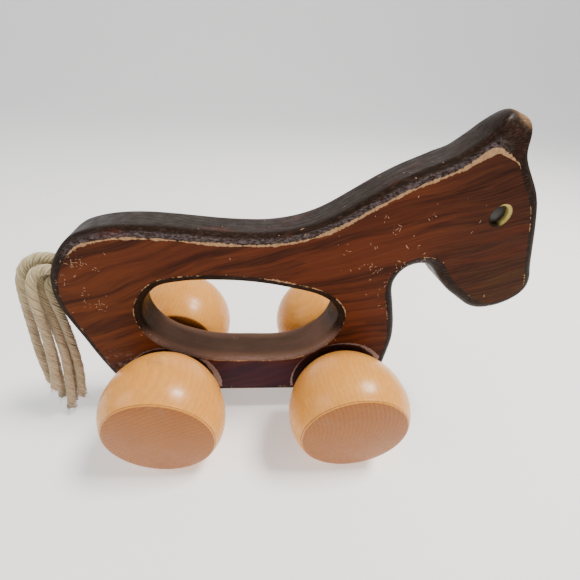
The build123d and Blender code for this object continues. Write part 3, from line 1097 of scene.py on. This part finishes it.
def smooth_route(points):
    """Points read from the NURBS line that has the route as its control points, in metres."""
    curve = bpy.data.curves.new("route", "CURVE")
    curve.dimensions = "3D"
    spline = curve.splines.new("NURBS")
    spline.points.add(len(points) - 1)
    for control, point in zip(spline.points, points):
        control.co = (*(c * MM for c in point), 1.0)
    spline.order_u = 3
    spline.use_endpoint_u = True
    spline.resolution_u = 24
    holder = bpy.data.objects.new("route", curve)
    mesh = bpy.data.meshes.new_from_object(holder)
    line = np.array([tuple(v.co) for v in mesh.vertices])
    bpy.data.meshes.remove(mesh)
    bpy.data.objects.remove(holder)
    bpy.data.curves.remove(curve)
    return line


def evenly(line, step):
    along = run_along(line)
    at = np.linspace(0, along[-1], max(2, round(along[-1] / step)))
    return np.stack([np.interp(at, along, line[:, k]) for k in range(3)], axis=1), at


def carried_frames(line):
    """Two directions across the line at each point, carried along it without twist."""
    along = np.gradient(line, axis=0)
    along /= np.linalg.norm(along, axis=1)[:, None]
    first = np.cross(along[0], (0.0, 1.0, 0.0))
    first /= np.linalg.norm(first)
    firsts = [first]
    for tangent in along[1:]:
        first = firsts[-1] - tangent * np.dot(firsts[-1], tangent)
        firsts.append(first / np.linalg.norm(first))
    firsts = np.array(firsts)
    return along, firsts, np.cross(along, firsts)


class Strands:
    """Closed tubes gathered into one mesh, with each point's tone, turn and run."""

    def __init__(self):
        self.points, self.faces = [], []
        self.values = {"tone": [], "turn": [], "run": []}

    def add(self, line, radii, sides, tone):
        _, first, second = carried_frames(line)
        start = len(self.points)
        run = run_along(line) / MM
        angles = turn_angles(sides)
        for i, (p, r) in enumerate(zip(line, radii)):
            for k, a in enumerate(angles):
                self.points.append(tuple(p + r * (math.cos(a) * first[i] + math.sin(a) * second[i])))
                self.values["tone"].append(tone)
                self.values["turn"].append(min(k, sides - k) / sides * 2)
                self.values["run"].append(run[i])
        rows = [range(start + i * sides, start + (i + 1) * sides) for i in range(len(line))]
        self.faces += [*tube_between(rows), tuple(reversed(rows[0])), tuple(rows[-1])]

    def piece(self, name, mesh_name, material, *nodes):
        mesh = mesh_from(mesh_name, self.points, self.faces)
        for key, values in self.values.items():
            set_attribute(mesh, key, values)
        return new_piece(name, mesh, "horse", "tail_cord", material, *nodes)


def make_cord(name, route, material):
    fine, at = evenly(smooth_route(route), 0.5 * MM)
    length = at[-1]
    _, first, second = carried_frames(fine)
    strands = Strands()
    phase = rng.uniform(0, 2 * math.pi)
    ring = (CORD_DIAMETER / 2 - YARN_RADIUS) * MM
    left = (length - at) / MM  # mm to the bare end
    loose = np.clip(1 - left / 7.0, 0, 1) ** 1.6
    for yarn in range(YARNS):
        swell = 1 + 0.05 * np.sin(at / MM / rng.uniform(2.5, 5.0) + rng.uniform(0, 6))
        spin = 2 * math.pi * yarn / YARNS + phase - 2 * math.pi * at / MM / LAY_LENGTH
        sway = 0.10 * np.sin(at / MM / rng.uniform(3, 7) + rng.uniform(0, 6))
        spin = spin + sway + 0.5 * loose * rng.normal()
        spread = ring * swell + loose * rng.uniform(0.1, 1.1) * MM
        outwards = np.cos(spin)[:, None] * first + np.sin(spin)[:, None] * second
        line = fine + spread[:, None] * outwards
        end = len(line) - (int(rng.integers(0, 5)) if yarn % 2 else 0)
        radius = YARN_RADIUS * MM * (1 + 0.06 * np.sin(at / MM / 1.7 + rng.uniform(0, 6)))
        radius = radius * (1 - 0.35 * np.clip(1 - (left - left[end - 1]) / 1.5, 0, 1))
        strands.add(line[:end], radius[:end], 8, rng.uniform(0, 1))
    strands.add(fine, np.full(len(fine), CORE_RADIUS * MM), 8, 0.2)
    cord = strands.piece(f"{name}_yarns", f"{name}_mesh", material, name)
    fibres = make_fibres(name, fine, first, second, material)


def make_fibres(name, fine, first, second, material):
    """Stray hairs along the cord and a loose tuft at its bare end."""
    along = np.gradient(fine, axis=0)
    along /= np.linalg.norm(along, axis=1)[:, None]
    strands = Strands()
    for hair in range(STRAY_HAIRS + TUFT_HAIRS):
        in_tuft = hair >= STRAY_HAIRS
        if in_tuft:
            i = len(fine) - 1 - int(rng.integers(2, 14))
        else:
            i = int(rng.integers(18, len(fine) - 4))
        angle = rng.uniform(0, 2 * math.pi)
        out = math.cos(angle) * first[i] + math.sin(angle) * second[i]
        around = np.cross(along[i], out)
        lift = rng.uniform(0.02, 0.35) if in_tuft else rng.uniform(0.15, 0.8)
        heading = along[i] * rng.uniform(0.6, 1.0) * (1 if in_tuft or rng.random() < 0.7 else -1)
        heading = heading + out * lift + around * rng.normal(0, 0.35)
        heading /= np.linalg.norm(heading)
        reach = (rng.uniform(3.0, 7.5) if in_tuft else rng.uniform(1.2, 3.6)) * MM
        start_radius = rng.uniform(0.3, 2.4) if in_tuft else 2.35
        start = fine[i] + out * start_radius * MM
        bend = rng.normal(0, 0.35, 3) + np.array([0, 0, -0.25])
        shares = np.linspace(0, 1, 6)[:, None]
        line = start + heading * shares * reach + bend * (shares**2) * reach * 0.5
        width = np.linspace(0.055, 0.02, 6) * MM * (1.3 if in_tuft else 1.0)
        strands.add(line, width, 3, rng.uniform(0, 1))
    return strands.piece(f"{name}_fibres", f"{name}_fibre_mesh", material)


# ---- stage and lights


def make_stage():
    """A pale floor that curves up into a wall far behind the toy."""
    depth, reach, height = 1.6, 3.0, 3.0
    bend = arc_points((depth, 1.0), 1.0, -90.0, 0.0, 16)
    section = [(-reach, 0.0)] + bend + [(depth + 1.0, height)]
    points = [(x, y, z) for y, z in section for x in (-reach, reach)]
    faces = [(2 * i, 2 * i + 1, 2 * i + 3, 2 * i + 2) for i in range(len(section) - 1)]
    mesh = mesh_from("stage_mesh", points, faces)
    g = Graph("stage")
    g.set(Base_Color=srgb(250, 250, 250))
    g.set(Emission_Color=(1.0, 1.0, 1.0, 1.0))
    g.set(Emission_Strength=0.42)
    g.set(Roughness=0.85)
    g.set(Specular_IOR_Level=0.1)
    mesh.materials.append(g.material)
    link("floor", mesh)


def area_light(name, place, aim, size, watts, color):
    data = bpy.data.lights.new(name, "AREA")
    data.shape, data.size, data.size_y = "RECTANGLE", size[0], size[1]
    data.energy = watts
    data.color = color
    light = link(name, data)
    light.location = place
    light.rotation_mode = "QUATERNION"
    light.rotation_quaternion = (Vector(aim) - Vector(place)).to_track_quat("-Z", "Y")


def make_lights():
    aim = (0.0, 0.0, 0.08)
    area_light("key", (0.55, 0.05, 1.15), aim, (0.35, 0.35), 25.0, (1.0, 0.95, 0.87))
    area_light("front", (-0.35, -1.5, 0.55), aim, (1.6, 0.5), 8.0, (0.97, 0.98, 1.0))
    area_light("left", (-1.3, -0.2, 0.9), aim, (0.8, 0.8), 7.0, (1.0, 0.98, 0.95))
    world = bpy.data.worlds.new("world")
    world.use_nodes = True
    sky = world.node_tree.nodes["Background"]
    sky.inputs["Color"].default_value = (0.97, 0.98, 1.0, 1.0)
    sky.inputs["Strength"].default_value = 0.34
    bpy.context.scene.world = world


# ---- build

make_camera()
cord_material = cord_fibre()
for name, route in TAIL_ROUTES.items():
    make_cord(name, route, cord_material)
make_board(stained_board())
eye_material = eye_black()
for hand, side in (("right", -1), ("left", 1)):
    make_eye(hand, side, eye_material)
grain_places = {
    "rear_right": ((-30.0, -60.0), 0.0),
    "rear_left": ((-120.0, 90.0), 40.0),
    "front_right": ((70.0, -45.0), 85.0),
    "front_left": ((10.0, 100.0), 130.0),
}
for end in ("rear", "front"):
    axle_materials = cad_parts[f"{end}_axle"].data.materials
    axle_materials.clear()
    axle_materials.append(dowel())
    for hand, side in (("right", -1), ("left", 1)):
        pith, shift = grain_places[f"{end}_{hand}"]
        make_wheel(end, hand, side, ball_wood(f"ball_{end}_{hand}", pith, shift))
make_stage()
make_lights()
